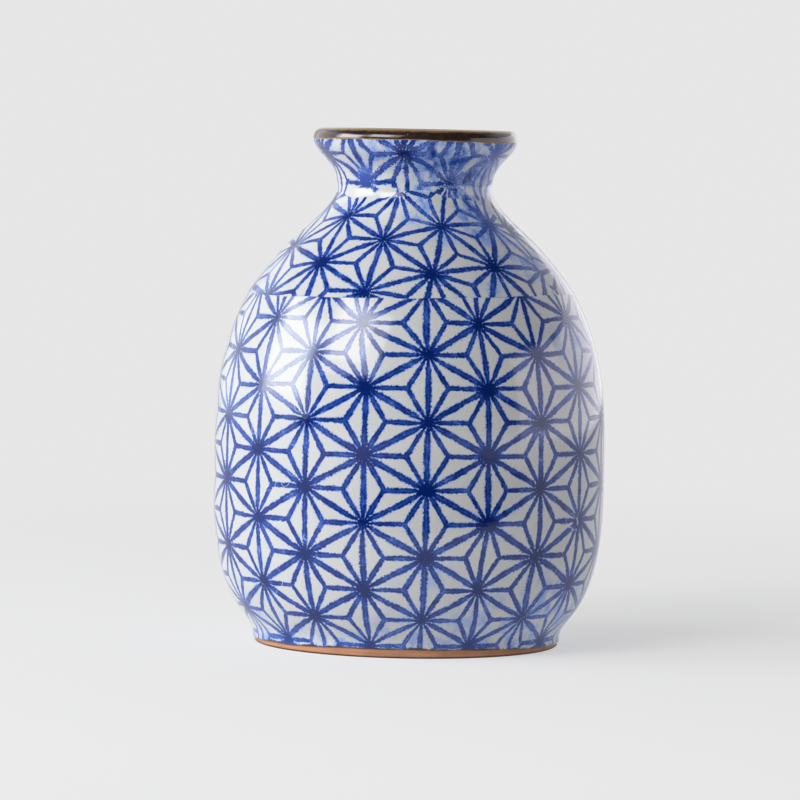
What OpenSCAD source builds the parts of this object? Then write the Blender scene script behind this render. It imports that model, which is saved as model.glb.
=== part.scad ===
// Sake bottle (tokkuri) of about two go, slip-cast in brown clay, with a blue hemp-leaf transfer
// print under a clear glaze and an iron-brown glazed lip.
//
// It is one fired pot, built up as the potter builds it: the clay body, then each coat of glaze as
// a thin shell of its own that lies face to face on the clay. The outer coat is divided where one
// printed sheet laps the next. Millimetres, +Z up, origin on the table under the middle of the foot.

/* [Overall size] */
// Height from the table to the top of the lip
total_h = 120; // [112:1:136]
// Outer diameter of the belly
belly_d = 91.2; // [84:0.2:100]
// Outer diameter of the neck where it is narrowest
neck_d = 36; // [32:0.5:40]
// Outer diameter of the lip
lip_d = 47.6; // [44:0.2:52]
// Outer diameter of the foot
foot_d = 71.8; // [66:0.2:76]

/* [Walls] */
// Thickness of the finished wall, clay and both glazes
wall_t = 4.4; // [3.6:0.1:5.2]
// Thickness of each coat of glaze
glaze_t = 0.4; // [0.3:0.05:0.6]
// Thickness of the clay floor
floor_t = 4.6; // [4:0.1:6]

/* [Foot] */
// Height of the upright collar at the foot
collar_h = 2; // [1.6:0.1:3]
// Height of the bare clay below the wiped edge of the glaze
bare_h = 1.4; // [1:0.1:1.6]
// Width of the foot ring
ring_w = 5.6; // [4:0.1:8]
// Depth of the recess inside the foot ring
recess_h = 2.2; // [1.6:0.1:3]
// Bevel on the edges of the foot ring
ring_bevel = 0.6; // [0.3:0.1:0.8]

/* [Outline] */
// Height of the widest part of the belly
belly_z = 36; // [32:0.5:42]
// Outer diameter at the middle of the shoulder slope
shoulder_d = 60.4; // [56:0.2:64]
// Drop from the top of the lip to the middle of the shoulder slope
shoulder_drop = 28; // [26:0.5:31]
// Lean of the shoulder slope from upright
shoulder_lean = 42.5; // [38:0.5:48]
// Drop from the top of the lip to the narrowest part of the neck
neck_drop = 13.7; // [12.5:0.1:15]

/* [Glaze lines] */
// Drop from the top of the lip to the lap between body and shoulder prints
body_lap_drop = 38.1; // [34:0.1:46]
// Drop from the top of the lip to the lap between shoulder and neck prints
neck_lap_drop = 15.2; // [14:0.1:18]
// Height of the brown glaze on the lip
rim_band_h = 2.7; // [2.2:0.1:3.5]

/* [Hidden] */
$fn = 96;

belly_r = belly_d / 2;
neck_r = neck_d / 2;
lip_r = lip_d / 2;
foot_r = foot_d / 2;
lip_round = wall_t / 2;
lip_z = total_h - lip_round;
neck_z = total_h - neck_drop;
shoulder = [shoulder_d / 2, total_h - shoulder_drop];
slope = [-sin(shoulder_lean), cos(shoulder_lean)];
body_lap_z = total_h - body_lap_drop;
neck_lap_z = total_h - neck_lap_drop;
rim_edge_z = total_h - rim_band_h;
floor_z = recess_h + floor_t + glaze_t;
ring_in_r = foot_r - ring_w;
cavity_r = belly_r - wall_t;
// How far each end of a curve pulls it along its own direction
foot_pull = 5.2;
belly_pull_down = 28.8;
belly_pull_up = 22.1;
shoulder_pull_down = 24;
shoulder_pull_up = 7.6;
neck_pull_down = 4.1;
neck_pull_up = 6.3;
lip_pull = 4;
// The floor is flat to this radius, then the cavity rounds up into the wall
floor_flat_r = 22;
floor_pull = 15;
cavity_pull = 20;
// Straight facets along each curve and round the lip
steps = 9;
lip_steps = 12;

// Finished outside of the pot, from the foot collar up to the lip: four curves end to end
foot_curve = [[foot_r, collar_h], [foot_r, collar_h + foot_pull],
              [belly_r, belly_z - belly_pull_down], [belly_r, belly_z]];
belly_curve = [[belly_r, belly_z], [belly_r, belly_z + belly_pull_up],
               shoulder - slope * shoulder_pull_down, shoulder];
shoulder_curve = [shoulder, shoulder + slope * shoulder_pull_up,
                  [neck_r, neck_z - neck_pull_down], [neck_r, neck_z]];
neck_curve = [[neck_r, neck_z], [neck_r, neck_z + neck_pull_up],
              [lip_r, lip_z - lip_pull], [lip_r, lip_z]];
// Finished inside, from the flat of the floor up to the belly
cavity_curve = [[floor_flat_r, floor_z], [floor_flat_r + floor_pull, floor_z],
                [cavity_r, belly_z - cavity_pull], [cavity_r, belly_z]];

// Point at t along a curve of four control points
function curve_point(c, t) =
    pow(1 - t, 3) * c[0] + 3 * t * pow(1 - t, 2) * c[1] + 3 * t * t * (1 - t) * c[2] + pow(t, 3) * c[3];
function curve_way(c, t) =
    pow(1 - t, 2) * (c[1] - c[0]) + 2 * t * (1 - t) * (c[2] - c[1]) + t * t * (c[3] - c[2]);
// The same point, moved left of the curve's own direction, which is into the wall
function inset_point(c, t, d) =
    let (w = curve_way(c, t)) curve_point(c, t) + d * [-w[1], w[0]] / norm(w);
function inset_run(c, d) = [for (i = [0:steps - 1]) inset_point(c, i / steps, d)];

// Outside of the wall at depth d, from the collar to the lip
function outside_run(d) =
    concat(inset_run(foot_curve, d), inset_run(belly_curve, d), inset_run(shoulder_curve, d),
           inset_run(neck_curve, d));
// Round of the lip at depth d, from outside over the top to inside
function lip_run(d) =
    [for (i = [0:lip_steps]) [lip_r - lip_round, lip_z]
        + (lip_round - d) * [cos(180 * i / lip_steps), sin(180 * i / lip_steps)]];
// Wall of the cavity, d out into the clay, from the middle of the floor up to the lip
function inside_run(d) =
    concat([[0, floor_z - d]], inset_run(cavity_curve, -d), inset_run(belly_curve, wall_t - d),
           inset_run(shoulder_curve, wall_t - d), inset_run(neck_curve, wall_t - d));
function backwards(run) = [for (i = [len(run) - 1:-1:0]) run[i]];

// Section of the fired clay: bare foot ring, outside, lip, cavity and recess
module clay_section() {
    bare_r = foot_r - glaze_t;
    polygon(concat(
        [[ring_in_r + ring_bevel, 0], [bare_r - ring_bevel, 0], [bare_r, ring_bevel]],
        outside_run(glaze_t),
        lip_run(glaze_t),
        backwards(inside_run(glaze_t)),
        [[0, recess_h], [ring_in_r - ring_bevel, recess_h], [ring_in_r, recess_h - ring_bevel],
         [ring_in_r, ring_bevel]]));
}

// Section of the glaze over the outside and the lip, before it is divided
module outer_coat_section() {
    polygon(concat(
        [[foot_r, bare_h]], outside_run(0), lip_run(0),
        backwards(lip_run(glaze_t)), backwards(outside_run(glaze_t)), [[foot_r - glaze_t, bare_h]]));
}

// The outer coat between two heights
module outer_coat(from_z, to_z) {
    rotate_extrude() intersection() {
        outer_coat_section();
        translate([0, from_z]) square([belly_d, to_z - from_z]);
    }
}

module clay_body() {
    color("peru") rotate_extrude() clay_section();
}

module body_glaze() {
    color("royalblue") outer_coat(0, body_lap_z);
}

module shoulder_glaze() {
    color("mediumblue") outer_coat(body_lap_z, neck_lap_z);
}

module neck_glaze() {
    color("cornflowerblue") outer_coat(neck_lap_z, rim_edge_z);
}

module rim_glaze() {
    color("saddlebrown") outer_coat(rim_edge_z, total_h + 1);
}

// Clear lining of the cavity, up to where the brown lip glaze begins
module inner_glaze() {
    color("ghostwhite") rotate_extrude()
        polygon(concat(inside_run(0), [[lip_r - wall_t, rim_edge_z]],
                       [[lip_r - wall_t + glaze_t, rim_edge_z]], backwards(inside_run(glaze_t))));
}

// Clear glaze on the ceiling of the recess and a little way down the ring
module base_glaze() {
    color("aliceblue") rotate_extrude()
        polygon([[0, recess_h], [ring_in_r - ring_bevel, recess_h], [ring_in_r, recess_h - ring_bevel],
                 [ring_in_r, ring_bevel + glaze_t], [ring_in_r - glaze_t, ring_bevel + 2 * glaze_t],
                 [ring_in_r - glaze_t, recess_h - ring_bevel - glaze_t / 2],
                 [ring_in_r - ring_bevel - glaze_t / 2, recess_h - glaze_t], [0, recess_h - glaze_t]]);
}

clay_body();
body_glaze();
shoulder_glaze();
neck_glaze();
rim_glaze();
inner_glaze();
base_glaze();
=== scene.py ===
"""A squat sake bottle: clay, clear glaze over a blue hemp-leaf transfer, a brown lip and a plain studio."""
import math
from bisect import bisect_right

import bmesh
import bpy
from bpy.props import FloatProperty, FloatVectorProperty, IntProperty, PointerProperty
from mathutils import Matrix, Vector
from mathutils.kdtree import KDTree
from mathutils.noise import noise


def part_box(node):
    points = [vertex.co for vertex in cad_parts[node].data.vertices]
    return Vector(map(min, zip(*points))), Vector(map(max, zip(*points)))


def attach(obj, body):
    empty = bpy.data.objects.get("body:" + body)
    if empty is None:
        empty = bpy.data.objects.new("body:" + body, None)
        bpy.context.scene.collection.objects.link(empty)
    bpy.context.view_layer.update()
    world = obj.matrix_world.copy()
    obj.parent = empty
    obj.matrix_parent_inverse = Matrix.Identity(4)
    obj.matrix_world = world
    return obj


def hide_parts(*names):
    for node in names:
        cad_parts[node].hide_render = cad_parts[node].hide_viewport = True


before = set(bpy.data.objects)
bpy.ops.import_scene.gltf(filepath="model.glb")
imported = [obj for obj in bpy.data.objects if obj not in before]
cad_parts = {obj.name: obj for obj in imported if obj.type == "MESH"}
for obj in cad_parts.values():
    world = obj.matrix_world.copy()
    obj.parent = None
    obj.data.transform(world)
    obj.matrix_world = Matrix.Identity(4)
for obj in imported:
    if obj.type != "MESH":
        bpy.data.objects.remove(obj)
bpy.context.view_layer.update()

bl_info = {
    "name": "Printed Sake Bottle",
    "version": (1, 0, 0),
    "blender": (4, 5, 0),
    "location": "View3D > Sidebar > Pottery",
    "description": "Builds a glazed sake bottle with a hemp-leaf transfer print round its packed model",
    "category": "Add Mesh",
}

BODY = "root"
MM = 0.001

# Every coat is built on one line, the finished skin, with this much between its turned rings
RING_GAP = 1.0 * MM
LINING_GAP = 2.0 * MM
SHADING_STEP = 0.04 * MM
TURNS = 180
# Ends of the skin's curves: how far each pulls the curve along its own direction
FOOT_PULL = 5.2 * MM
BELLY_PULL_DOWN = 28.8 * MM
BELLY_PULL_UP = 22.1 * MM
SHOULDER_PULL_DOWN = 24.0 * MM
SHOULDER_PULL_UP = 7.6 * MM
NECK_PULL_DOWN = 4.1 * MM
NECK_PULL_UP = 6.3 * MM
LIP_PULL = 4.0 * MM
FLOOR_FLAT_RADIUS = 22.0 * MM
FLOOR_PULL = 15.0 * MM
CAVITY_PULL = 20.0 * MM
# The wiped lower edge of the glaze rolls in like this: (run above the edge, depth under the skin)
WIPED_ROLL = [(0.0, 0.34 * MM), (0.04 * MM, 0.2 * MM), (0.14 * MM, 0.08 * MM), (0.3 * MM, 0.0),
              (0.55 * MM, -0.03 * MM), (0.9 * MM, -0.02 * MM), (1.4 * MM, 0.0)]
# The wall turns in along a soft ridge under the body lap
RIDGE_HEIGHT = 0.28 * MM
RIDGE_REACH = 3.8 * MM
# The row spacing of a hemp-leaf star pattern, where its columns are 1 apart
STAR_RISE = 2 / math.sqrt(3)
# The spokes from a star to the middles of its triangles are drawn this much finer than its other lines
SPOKE_THINNING = 1.2
# Cobalt pools along the wiped edge up to this height, and at least this strongly between thick stretches
POOL_RISE = 1.1 * MM
EVEN_POOL = 0.62
# Radii, in millimetres, at which distances round the pot are reckoned for pulls and for washes
PULL_RADIUS = 42
WASH_RADIUS = 30
# The blue hem of the belly's sheets fades out at this height
HEM_RISE = 9 * MM
# One of the two sheets of each band: (degrees round to its middle, half its width in degrees)
BELLY_BACK_SHEET = (155, 55)
NECK_BACK_SHEET = (150, 60)
SHOULDER_FRONT_SHEET = (-30, 90)
# Stretches of the neck lap that the print missed: (degrees round, reach in degrees)
MISSED_STRETCHES = [(-46, 24), (-22, 15), (140, 30)]
# The brown lip glaze can run this far down over the neck's print
BROWN_REACH = 0.6 * MM
# The wander of a lap fades out this far along the skin
SEAM_REACH = 8 * MM
# The studio lights all face this height on the pot's axis
LIGHT_AIM = 0.06
# A black card on the floor before the pot: where its middle lies, and its width and length
CARD_PLACE = (0.12, -1.42, 0.0012)
CARD_SIZE = (0.86, 2.5)
WHITE = (1.0, 1.0, 1.0)


def low_of(node):
    """Height of a CAD node's lowest point."""
    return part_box(node)[0][2]


def top_of(node):
    """Height of a CAD node's highest point."""
    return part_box(node)[1][2]


def reach_of(node):
    """How far a CAD node reaches out from the pot's axis."""
    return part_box(node)[1][0]


# ---------------------------------------------------------------- settings


class PotShape(bpy.types.PropertyGroup):
    """Sizes of the pot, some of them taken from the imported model."""
    belly_radius: FloatProperty(
        name="Belly radius", description="Outer radius at the widest part",
        default=reach_of("body_glaze"), unit="LENGTH")
    belly_height: FloatProperty(
        name="Belly height", description="Height of the widest part", default=36 * MM, unit="LENGTH")
    foot_radius: FloatProperty(
        name="Foot radius", description="Outer radius of the glazed collar at the foot",
        default=35.9 * MM, unit="LENGTH")
    collar_height: FloatProperty(
        name="Collar height", description="Height of the upright collar at the foot",
        default=2 * MM, unit="LENGTH")
    shoulder_radius: FloatProperty(
        name="Shoulder radius", description="Outer radius at the middle of the shoulder slope",
        default=30.2 * MM, unit="LENGTH")
    shoulder_drop: FloatProperty(
        name="Shoulder drop", description="From the top of the lip to the middle of the slope",
        default=28 * MM, unit="LENGTH")
    shoulder_lean: FloatProperty(
        name="Shoulder lean", description="Lean of the slope from upright",
        default=math.radians(42.5), unit="ROTATION")
    neck_radius: FloatProperty(
        name="Neck radius", description="Outer radius where the neck is narrowest",
        default=18 * MM, unit="LENGTH")
    neck_drop: FloatProperty(
        name="Neck drop", description="From the top of the lip to the narrowest part of the neck",
        default=13.7 * MM, unit="LENGTH")
    lip_radius: FloatProperty(
        name="Lip radius", description="Outer radius of the lip",
        default=reach_of("rim_glaze"), unit="LENGTH")
    height: FloatProperty(
        name="Height", description="From the table to the top of the lip",
        default=top_of("rim_glaze"), unit="LENGTH")
    wall: FloatProperty(
        name="Wall", description="Thickness of the finished wall", default=4.4 * MM, unit="LENGTH")
    glaze: FloatProperty(
        name="Glaze", description="Thickness of each coat of glaze", default=0.4 * MM, unit="LENGTH")
    ring_inside: FloatProperty(
        name="Ring inside", description="Inner radius of the foot ring",
        default=reach_of("base_glaze"), unit="LENGTH")
    recess: FloatProperty(
        name="Recess", description="Height of the recess inside the foot ring",
        default=top_of("base_glaze"), unit="LENGTH")


class HempLeafPrint(bpy.types.PropertyGroup):
    """Sizes and colours of the transfer print."""
    columns: IntProperty(
        name="Columns", description="Columns of stars round the belly", default=20, min=8, max=40)
    first_column: FloatProperty(
        name="First column", description="Angle of a star column from the front",
        default=math.radians(4.9), unit="ROTATION")
    row_gap: FloatProperty(
        name="Row gap", description="Height between two stars of a column",
        default=15.35 * MM, unit="LENGTH")
    star_height: FloatProperty(
        name="Star height", description="Run up the skin to a star of the first column",
        default=41.3 * MM, unit="LENGTH")
    line_width: FloatProperty(
        name="Line width", description="Width of a line, where columns are 1 apart",
        default=0.103, min=0.01, max=0.2)
    ground: FloatVectorProperty(
        name="Ground", description="Bare clay body seen through the clear glaze",
        default=(0.522, 0.525, 0.521), subtype="COLOR", min=0, max=1)
    pale_ink: FloatVectorProperty(
        name="Pale ink", description="Cobalt washed thin at the edge of a line",
        default=(0.23, 0.34, 0.62), subtype="COLOR", min=0, max=1)
    mid_ink: FloatVectorProperty(
        name="Middle ink", description="Cobalt at half strength",
        default=(0.017, 0.064, 0.335), subtype="COLOR", min=0, max=1)
    deep_ink: FloatVectorProperty(
        name="Deep ink", description="Cobalt at full strength",
        default=(0.001, 0.0125, 0.108), subtype="COLOR", min=0, max=1)
    pooled_ink: FloatVectorProperty(
        name="Pooled ink", description="Cobalt and iron where they pool at the wiped edge",
        default=(0.028, 0.034, 0.05), subtype="COLOR", min=0, max=1)


class ClayAndGlazes(bpy.types.PropertyGroup):
    """Colours of the clay and of the plain glazes."""
    clay: FloatVectorProperty(
        name="Clay", description="Bare fired clay", default=(0.46, 0.225, 0.125),
        subtype="COLOR", min=0, max=1)
    # Real toasted clay, and a third of this colour is also the painted contact shadow along the bottom of the
    # foot, the darkening on worn edges
    toasted_clay_and_shadow: FloatVectorProperty(
        name="Toasted clay", description="Clay darkened beside the glaze and on worn edges",
        default=(0.20, 0.075, 0.035), subtype="COLOR", min=0, max=1)
    iron_brown: FloatVectorProperty(
        name="Iron brown", description="Lip glaze where it lies thick",
        default=(0.023, 0.0115, 0.0105), subtype="COLOR", min=0, max=1)
    amber: FloatVectorProperty(
        name="Amber", description="Lip glaze where it breaks thin over an edge",
        default=(0.25, 0.155, 0.055), subtype="COLOR", min=0, max=1)
    lining: FloatVectorProperty(
        name="Lining", description="Clear glaze inside the pot and under the foot",
        default=(0.50, 0.50, 0.48), subtype="COLOR", min=0, max=1)


class Studio(bpy.types.PropertyGroup):
    """Where the camera stands, and the strength of each light."""
    camera_distance: FloatProperty(
        name="Camera distance", description="From the pot's axis, level with the floor",
        default=1.14, unit="LENGTH")
    camera_height: FloatProperty(
        name="Camera height", description="Above the floor", default=0.126, unit="LENGTH")
    camera_aim: FloatVectorProperty(
        name="Camera aim", description="Point that the camera looks at",
        default=(-0.00245, 0.0, 0.05672), subtype="TRANSLATION")
    camera_roll: FloatProperty(
        name="Camera roll", description="Lean of the camera to its left",
        default=math.radians(1.1), unit="ROTATION")
    lens: FloatProperty(name="Lens", description="Focal length in millimetres", default=219.9)
    left_glow: FloatProperty(
        name="Left softbox", description="Brightness of the large softbox on the left", default=0.84)
    left_hot_glow: FloatProperty(
        name="Left hot patch", description="Extra brightness of its hot patch", default=8.6)
    front_glow: FloatProperty(
        name="Front light", description="Brightness of the light up and left of the camera", default=8.6)
    right_glow: FloatProperty(
        name="Right softbox", description="Brightness of the softboxes on the right", default=1.62)
    left_tint: FloatVectorProperty(
        name="Left tint", description="Colour of the daylight from the left",
        default=(0.965, 0.99, 1.03), subtype="COLOR", min=0, max=2)
    right_tint: FloatVectorProperty(
        name="Right tint", description="Colour of the light from the right",
        default=(1.0, 0.95, 1.05), subtype="COLOR", min=0, max=2)
    backdrop: FloatVectorProperty(
        name="Backdrop", description="Even brightness of the floor further out and of the backdrop",
        default=(0.86, 0.86, 0.86), subtype="COLOR", min=0, max=2)
    dim_air: FloatVectorProperty(
        name="Dim air", description="The unlit studio overhead and behind the camera",
        default=(0.03, 0.03, 0.034), subtype="COLOR", min=0, max=2)
    floor_glow: FloatProperty(
        name="Floor glow", description="Light that the floor near the pot gives off by itself", default=0.512)
    floor: FloatVectorProperty(
        name="Floor", description="Colour of the seamless floor", default=(0.385, 0.385, 0.381),
        subtype="COLOR", min=0, max=1)


# ---------------------------------------------------------------- the pot's outline


def curve_point(curve, t):
    """Point at t along a curve of four control points."""
    a, b, c, d = curve
    u = 1 - t
    return a * u ** 3 + b * (3 * t * u * u) + c * (3 * t * t * u) + d * t ** 3


def curve_inward(curve, t):
    """Direction into the wall at t, which is left of the curve's own direction."""
    a, b, c, d = curve
    u = 1 - t
    way = (b - a) * (u * u) + (c - b) * (2 * t * u) + (d - c) * (t * t)
    return Vector((-way.y, way.x)).normalized()


class Skin:
    """The finished surface as one line of (radius, height): up the outside, over the lip, down to the floor.

    A place on it is a run, the length along the line from the foot, and a depth into the wall.
    """
    CURVE_STEPS = 80
    LIP_STEPS = 32

    def __init__(self, shape):
        self.points, self.into, self.runs = [], [], []
        up = Vector((0, 1))
        lip_round = shape.wall / 2
        lip_height = shape.height - lip_round
        foot = Vector((shape.foot_radius, shape.collar_height))
        belly = Vector((shape.belly_radius, shape.belly_height))
        shoulder = Vector((shape.shoulder_radius, shape.height - shape.shoulder_drop))
        neck = Vector((shape.neck_radius, shape.height - shape.neck_drop))
        lip = Vector((shape.lip_radius, lip_height))
        slope = Vector((-math.sin(shape.shoulder_lean), math.cos(shape.shoulder_lean)))
        walls = [
            (foot, foot + up * FOOT_PULL, belly - up * BELLY_PULL_DOWN, belly),
            (belly, belly + up * BELLY_PULL_UP, shoulder - slope * SHOULDER_PULL_DOWN, shoulder),
            (shoulder, shoulder + slope * SHOULDER_PULL_UP, neck - up * NECK_PULL_DOWN, neck),
            (neck, neck + up * NECK_PULL_UP, lip - up * LIP_PULL, lip),
        ]
        self.add(Vector((shape.foot_radius, 0)), Vector((-1, 0)))
        for curve in walls:
            for i in range(self.CURVE_STEPS + 1):
                t = i / self.CURVE_STEPS
                self.add(curve_point(curve, t), curve_inward(curve, t))
        centre = Vector((shape.lip_radius - lip_round, lip_height))
        for i in range(1, self.LIP_STEPS):
            turn = math.pi * i / self.LIP_STEPS
            out = Vector((math.cos(turn), math.sin(turn)))
            self.add(centre + out * lip_round, -out)
        for curve in reversed(walls[1:]):
            for i in range(self.CURVE_STEPS + 1):
                t = 1 - i / self.CURVE_STEPS
                inward = curve_inward(curve, t)
                self.add(curve_point(curve, t) + inward * shape.wall, -inward)
        floor_height = low_of("inner_glaze") + shape.glaze
        cavity_radius = shape.belly_radius - shape.wall
        cavity = (Vector((FLOOR_FLAT_RADIUS, floor_height)),
                  Vector((FLOOR_FLAT_RADIUS + FLOOR_PULL, floor_height)),
                  Vector((cavity_radius, shape.belly_height - CAVITY_PULL)),
                  Vector((cavity_radius, shape.belly_height)))
        for i in range(self.CURVE_STEPS + 1):
            t = 1 - i / self.CURVE_STEPS
            self.add(curve_point(cavity, t), -curve_inward(cavity, t))
        self.add(Vector((0, floor_height)), Vector((0, -1)))
        self.top_run = self.runs[max(range(len(self.points)), key=lambda i: self.points[i].y)]
        self.end_run = self.runs[-1]

    def add(self, point, into):
        """Carries the line on to a point, leaving out one that lies on the last."""
        if self.points:
            step = (point - self.points[-1]).length
            if step < 1e-7:
                return
            self.runs.append(self.runs[-1] + step)
        else:
            self.runs.append(0.0)
        self.points.append(point)
        self.into.append(into)

    def at(self, run, depth=0.0):
        """The (radius, height) at a run along the skin and a depth into the wall."""
        after = min(max(bisect_right(self.runs, run), 1), len(self.runs) - 1)
        share = (run - self.runs[after - 1]) / (self.runs[after] - self.runs[after - 1])
        point = self.points[after - 1].lerp(self.points[after], share)
        into = self.into[after - 1].lerp(self.into[after], min(max(share, 0.0), 1.0)).normalized()
        return point + into * depth

    def run_at(self, height, inside=False):
        """The run at which the outside, or the inside, is at a height."""
        places = range(1, len(self.points))
        for i in (reversed(places) if inside else places):
            a, b = self.points[i - 1], self.points[i]
            if min(a.y, b.y) <= height <= max(a.y, b.y) and a.y != b.y:
                if inside and self.runs[i] < self.top_run:
                    break
                return self.runs[i - 1] + (self.runs[i] - self.runs[i - 1]) * (height - a.y) / (b.y - a.y)
        raise ValueError(f"the skin is never {height:.4f} m high there")


def stations(start, end, gap=RING_GAP):
    """Runs from start to end about a gap apart, with one close to each end so that edges shade true."""
    count = max(2, round(abs(end - start) / gap))
    even = [start + (end - start) * i / count for i in range(count + 1)]
    near = math.copysign(SHADING_STEP, end - start)
    return [even[0], even[0] + near, *even[1:-1], even[-1] - near, even[-1]]


# ---------------------------------------------------------------- hand wander


def degrees_from(angle, centre):
    """Degrees round the pot from a centre to an angle, between -180 and 180."""
    return (math.degrees(angle) - centre + 180) % 360 - 180


def bump_at(angle, centre, reach):
    """1 at a centre, falling smoothly to 0 a reach away, both in degrees."""
    away = abs(degrees_from(angle, centre)) / reach
    return 0.0 if away >= 1 else (1 - away * away) ** 2


def ring_noise(angle, waves, seed):
    """Smooth noise from about -1 to 1 round the pot, with about so many waves."""
    spread = waves / math.tau
    return 2 * noise(Vector((spread * math.cos(angle), spread * math.sin(angle), seed)))


def wiped_edge(angle):
    """How far the wiped foot edge of the glaze lies above its CAD line."""
    high = 1.25 * bump_at(angle, -2, 85) + 0.8 * bump_at(angle, 165, 60)
    return (high - 0.6 + 0.12 * ring_noise(angle, 9, 3.1) + 0.07 * ring_noise(angle, 34, 8.7)) * MM


def body_lap(angle):
    """Wander of the lap between the body and shoulder prints, along the skin."""
    tilt = 0.8 * math.sin(angle + math.radians(8))
    return (tilt + 0.25 * ring_noise(angle, 9, 21.3) + 0.12 * ring_noise(angle, 34, 5.9)) * MM


def neck_lap(angle):
    """Wander of the lap between the shoulder and neck prints, along the skin."""
    dips = 1.5 * bump_at(angle, 2, 26) - 1.3 * bump_at(angle, 48, 30) + 0.9 * bump_at(angle, 165, 40)
    return (dips + 0.3 * ring_noise(angle, 8, 14.2) + 0.2 * ring_noise(angle, 26, 2.2)) * MM


def rim_edge(angle):
    """Wander of the lower edge of the brown lip glaze, along the skin."""
    high = 0.5 * bump_at(angle, -18, 85)
    return (high + 0.10 * ring_noise(angle, 12, 40.4) + 0.05 * ring_noise(angle, 50, 30.2)) * MM


# ---------------------------------------------------------------- modelling


def deselect_all():
    """Leaves nothing selected, in object mode."""
    if bpy.context.object and bpy.context.object.mode != "OBJECT":
        bpy.ops.object.mode_set(mode="OBJECT")
    bpy.ops.object.select_all(action="DESELECT")


def turn_on_wheel(name, section, closed):
    """Draws a section point by point from one vertex and spins it round the pot's axis."""
    deselect_all()
    bpy.ops.mesh.primitive_plane_add(size=MM, location=(0, 0, 0))
    piece = bpy.context.object
    piece.name = piece.data.name = name
    bpy.ops.object.mode_set(mode="EDIT")
    bpy.ops.mesh.select_all(action="SELECT")
    bpy.ops.mesh.merge(type="CENTER")
    bpy.ops.transform.translate(value=(section[0].x, 0, section[0].y))
    for before, after in zip(section, section[1:]):
        step = after - before
        bpy.ops.mesh.extrude_region_move(TRANSFORM_OT_translate={"value": (step.x, 0, step.y)})
    if closed:
        drawn = bmesh.from_edit_mesh(piece.data)
        for vertex in drawn.verts:
            vertex.select_set(len(vertex.link_edges) == 1)
        drawn.select_flush_mode()
        bmesh.update_edit_mesh(piece.data)
        bpy.ops.mesh.edge_face_add()
    bpy.ops.mesh.select_all(action="SELECT")
    bpy.ops.mesh.spin(steps=TURNS, angle=math.tau, center=(0, 0, 0), axis=(0, 0, 1))
    bpy.ops.mesh.select_all(action="SELECT")
    bpy.ops.mesh.remove_doubles(threshold=1e-6)
    bpy.ops.mesh.normals_make_consistent(inside=False)
    bpy.ops.object.mode_set(mode="OBJECT")
    return piece


def angle_of(vertex):
    """Angle round the pot from its front, growing towards +X."""
    return math.atan2(vertex.co.x, -vertex.co.y)


def lay_on_skin(piece, skin, places, wander):
    """Moves each ring along the skin as the hand-made edges wander, and keeps every vertex's run."""
    section = KDTree(len(places))
    for i, (run, depth) in enumerate(places):
        point = skin.at(run, depth)
        section.insert((point.x, 0, point.y), i)
    section.balance()
    runs = piece.data.attributes.new("Run", "FLOAT", "POINT")
    for i, vertex in enumerate(piece.data.vertices):
        radius = math.hypot(vertex.co.x, vertex.co.y)
        run, depth = places[section.find((radius, 0, vertex.co.z))[1]]
        if radius > 1e-5:
            angle = angle_of(vertex)
            run += wander(angle, run)
            point = skin.at(run, depth)
            vertex.co = (point.x * math.sin(angle), -point.x * math.cos(angle), point.y)
        runs.data[i].value = run


def fading_wander(edges):
    """A wander that follows each (run, function, reach) edge fully, and fades over its reach."""
    def wander(angle, run):
        total = 0.0
        for edge_run, edge, reach in edges:
            away = abs(run - edge_run) / reach
            if away < 1:
                total += edge(angle) * (1 - away * away) ** 2
        return total
    return wander


def write_sheet_map(piece, sheet_place):
    """Lays the flat printed sheet on the piece: sheet_place gives the pattern's place at an angle and run."""
    mesh = piece.data
    layer = mesh.uv_layers.new(name="Sheet")
    runs = [item.value for item in mesh.attributes["Run"].data]
    angles = [angle_of(vertex) for vertex in mesh.vertices]
    for face in mesh.polygons:
        middle = math.atan2(face.center.x, -face.center.y)
        for corner in face.loop_indices:
            vertex = mesh.loops[corner].vertex_index
            angle = middle + (angles[vertex] - middle + math.pi) % math.tau - math.pi
            layer.data[corner].uv = sheet_place(angle, runs[vertex], middle)


def write_mask(piece, name, value_at):
    """Keeps a number at every vertex for a material to read, worked out from its angle and run."""
    layer = piece.data.attributes.new(name, "FLOAT", "POINT")
    runs = piece.data.attributes["Run"].data
    for i, vertex in enumerate(piece.data.vertices):
        layer.data[i].value = value_at(angle_of(vertex), runs[i].value)


def finish_piece(piece, material, node):
    """Shades a piece, gives it its material and puts it in the place of its CAD node."""
    deselect_all()
    piece.select_set(True)
    bpy.context.view_layer.objects.active = piece
    bpy.ops.object.shade_smooth_by_angle(angle=math.radians(40))
    piece.data.materials.clear()
    piece.data.materials.append(material)
    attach(piece, BODY)
    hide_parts(node)


# ---------------------------------------------------------------- printed sheets


def stretched(angle, run, pulls):
    """How far pulls by hand moved the sheet across and up.

    A pull is (degrees round, run in mm, reach in mm, across, up), the last two in columns.
    """
    across = up = 0.0
    for centre, centre_run, reach, pull_across, pull_up in pulls:
        round_mm = math.radians(degrees_from(angle, centre)) * PULL_RADIUS
        away = (round_mm ** 2 + (run / MM - centre_run) ** 2) / reach ** 2
        if away < 1:
            across += pull_across * (1 - away) ** 2
            up += pull_up * (1 - away) ** 2
    return across, up


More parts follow.
